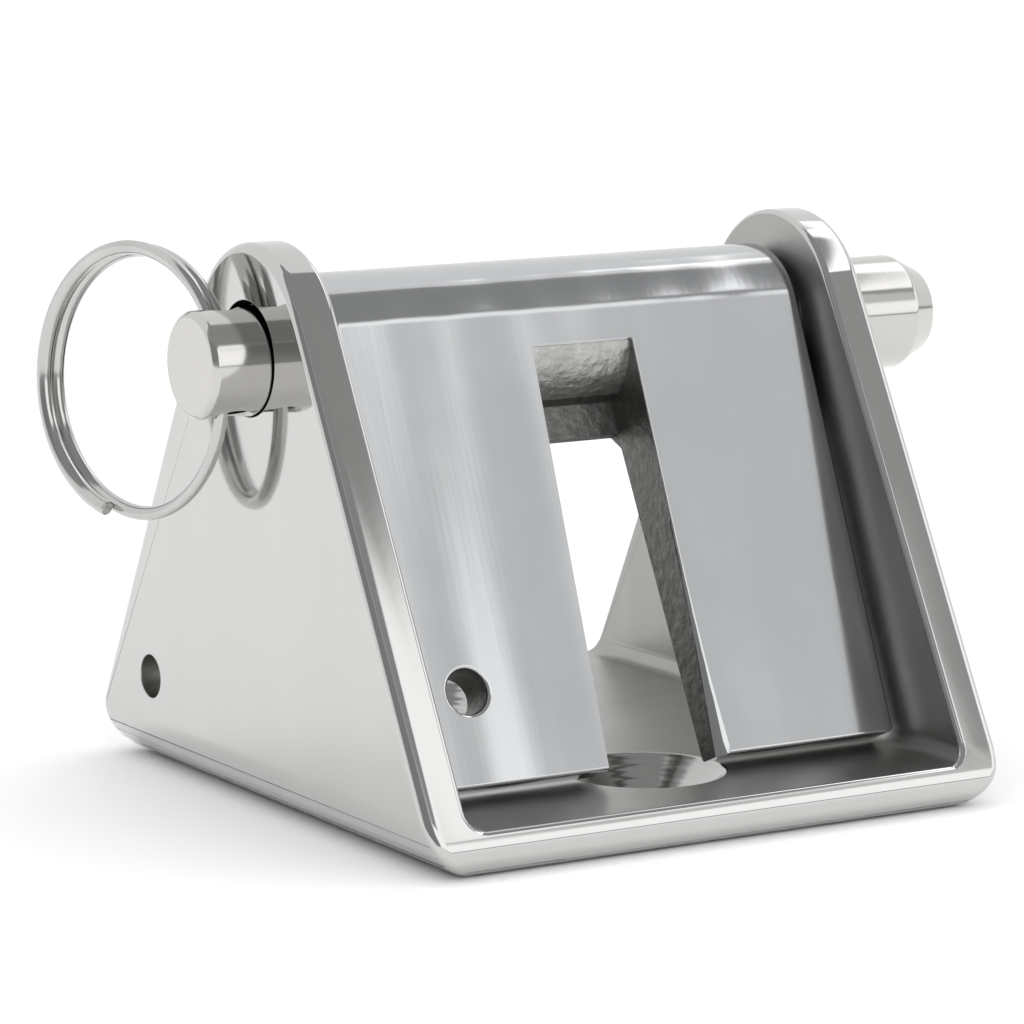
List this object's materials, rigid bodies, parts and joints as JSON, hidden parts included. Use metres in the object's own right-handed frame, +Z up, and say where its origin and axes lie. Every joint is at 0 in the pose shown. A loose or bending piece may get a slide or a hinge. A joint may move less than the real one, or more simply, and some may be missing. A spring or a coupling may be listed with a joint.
{
  "type": "anchor chain stopper",
  "caption": "Hinged anchor chain stopper: a polished U bracket with a slotted pawl that swings on a clevis pin held by a split ring.",
  "frame": {"origin": "on the underside of the base, straight below the pin's axis, midway between the ears", "axes": "+X along the pin towards its head, +Y to the rear, the way the chain runs in, +Z up from the deck"},
  "size_m": [0.1013, 0.0779, 0.0635],
  "materials": {
    "polished_plate": "mirror-polished stainless plate, duller inside the U",
    "polished_casting": "polished stainless casting, rough as cast inside the slot",
    "turned_steel": "polished turned stainless bar with faint tool rings",
    "spring_wire": "bright drawn stainless wire"
  },
  "bodies": {
    "bracket": {"bracket": "polished_plate"},
    "pawl": {"pawl": "polished_casting"},
    "clevis_pin": {"clevis_pin": "turned_steel"},
    "split_ring": {"split_ring": "spring_wire"}
  },
  "joints": [
    {"name": "pawl_swing", "type": "hinge", "parent": "bracket", "child": "pawl", "pos_m": [0, 0, 0.0505], "axis": [-1, 0, 0], "range_deg": [0, 295]},
    {"name": "pin_turn", "type": "hinge", "parent": "bracket", "child": "clevis_pin", "pos_m": [0, 0, 0.0505], "axis": [1, 0, 0], "continuous": true},
    {"name": "ring_swing", "type": "hinge", "parent": "clevis_pin", "child": "split_ring", "pos_m": [-0.04, 0, 0.0505], "axis": [0, 0.2419, 0.9703], "range_deg": [-15, 165]}
  ]
}
